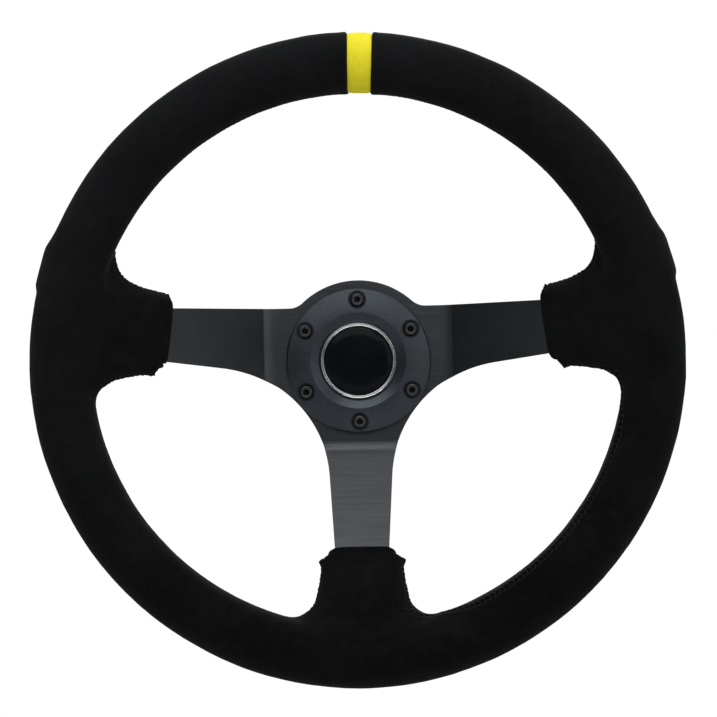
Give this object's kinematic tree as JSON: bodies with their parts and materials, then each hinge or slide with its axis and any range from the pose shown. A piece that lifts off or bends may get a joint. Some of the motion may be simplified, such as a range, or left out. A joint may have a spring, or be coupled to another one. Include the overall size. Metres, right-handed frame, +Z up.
{
  "type": "quick-release steering wheel",
  "caption": "Deep-dish three-spoke racing steering wheel with a suede rim, a centre marker, a push-type horn button and a ball-lock quick-release hub on its back.",
  "frame": {"origin": "on the steering axis, in the plane of the quick-release hub's rear face, where the shoulder of the column's spigot seats", "axes": "+Y is the steering axis and points from the driver towards the column, +X is the driver's right, +Z is up with the wheel straight ahead"},
  "size_m": [0.35, 0.1301, 0.3499],
  "materials": {
    "brushed_anodised_aluminium": "satin",
    "black_anodised_aluminium": "satin",
    "bare_aluminium": "satin",
    "grip_foam": "matte",
    "black_suede": "matte",
    "yellow_suede": "matte",
    "black_oxide_steel": "satin",
    "spring_steel": "polished",
    "ball_steel": "polished",
    "chrome_plate": "polished",
    "gloss_black_plastic": "gloss",
    "black_nylon": "matte",
    "brass": "polished"
  },
  "bodies": {
    "wheel": {"rim_core": "bare_aluminium", "rim_padding": "grip_foam", "suede_cover": "black_suede", "center_marker": "yellow_suede", "spoke_plate": "brushed_anodised_aluminium", "horn_retaining_ring": "black_anodised_aluminium", "hub_screw_1": "black_oxide_steel", "hub_screw_2": "black_oxide_steel", "hub_screw_3": "black_oxide_steel", "hub_screw_4": "black_oxide_steel", "hub_screw_5": "black_oxide_steel", "hub_screw_6": "black_oxide_steel", "horn_spring": "spring_steel", "horn_fixed_contact": "brass", "horn_housing": "black_nylon", "horn_terminal_live": "brass", "horn_terminal_ground": "brass", "quick_release_hub": "black_anodised_aluminium", "collar_spring": "spring_steel", "collar_circlip": "black_oxide_steel", "contact_insulator": "black_nylon", "contact_ring": "brass", "contact_stud": "brass"},
    "horn_button": {"horn_cap": "gloss_black_plastic", "horn_bezel": "chrome_plate", "horn_carrier": "black_nylon", "horn_moving_contact": "brass"},
    "release_collar": {"release_collar": "black_anodised_aluminium"},
    "lock_ball_1": {"lock_ball_1": "ball_steel"},
    "lock_ball_2": {"lock_ball_2": "ball_steel"},
    "lock_ball_3": {"lock_ball_3": "ball_steel"},
    "lock_ball_4": {"lock_ball_4": "ball_steel"},
    "lock_ball_5": {"lock_ball_5": "ball_steel"},
    "lock_ball_6": {"lock_ball_6": "ball_steel"}
  },
  "joints": [
    {"name": "horn_push", "type": "slide", "parent": "wheel", "child": "horn_button", "axis": [0, 1, 0], "range_m": [0, 0.002], "stiffness_N_per_m": 5000, "springref_m": -0.0006, "deforming": ["horn_spring"]},
    {"name": "collar_slide", "type": "slide", "parent": "wheel", "child": "release_collar", "axis": [0, -1, 0], "range_m": [0, 0.006], "stiffness_N_per_m": 2000, "springref_m": -0.005, "deforming": ["collar_spring"]},
    {"name": "lock_ball_1_slide", "type": "slide", "parent": "wheel", "child": "lock_ball_1", "axis": [1, 0, 0], "range_m": [0, 0.0016]},
    {"name": "lock_ball_2_slide", "type": "slide", "parent": "wheel", "child": "lock_ball_2", "axis": [0.5, 0, 0.866], "range_m": [0, 0.0016]},
    {"name": "lock_ball_3_slide", "type": "slide", "parent": "wheel", "child": "lock_ball_3", "axis": [-0.5, 0, 0.866], "range_m": [0, 0.0016]},
    {"name": "lock_ball_4_slide", "type": "slide", "parent": "wheel", "child": "lock_ball_4", "axis": [-1, 0, 0], "range_m": [0, 0.0016]},
    {"name": "lock_ball_5_slide", "type": "slide", "parent": "wheel", "child": "lock_ball_5", "axis": [-0.5, 0, -0.866], "range_m": [0, 0.0016]},
    {"name": "lock_ball_6_slide", "type": "slide", "parent": "wheel", "child": "lock_ball_6", "axis": [0.5, 0, -0.866], "range_m": [0, 0.0016]}
  ],
  "couplings": [
    {"joint": "lock_ball_1_slide", "follows": "collar_slide", "ratio": 0.2666},
    {"joint": "lock_ball_2_slide", "follows": "collar_slide", "ratio": 0.2666},
    {"joint": "lock_ball_3_slide", "follows": "collar_slide", "ratio": 0.2666},
    {"joint": "lock_ball_4_slide", "follows": "collar_slide", "ratio": 0.2666},
    {"joint": "lock_ball_5_slide", "follows": "collar_slide", "ratio": 0.2666},
    {"joint": "lock_ball_6_slide", "follows": "collar_slide", "ratio": 0.2666}
  ]
}
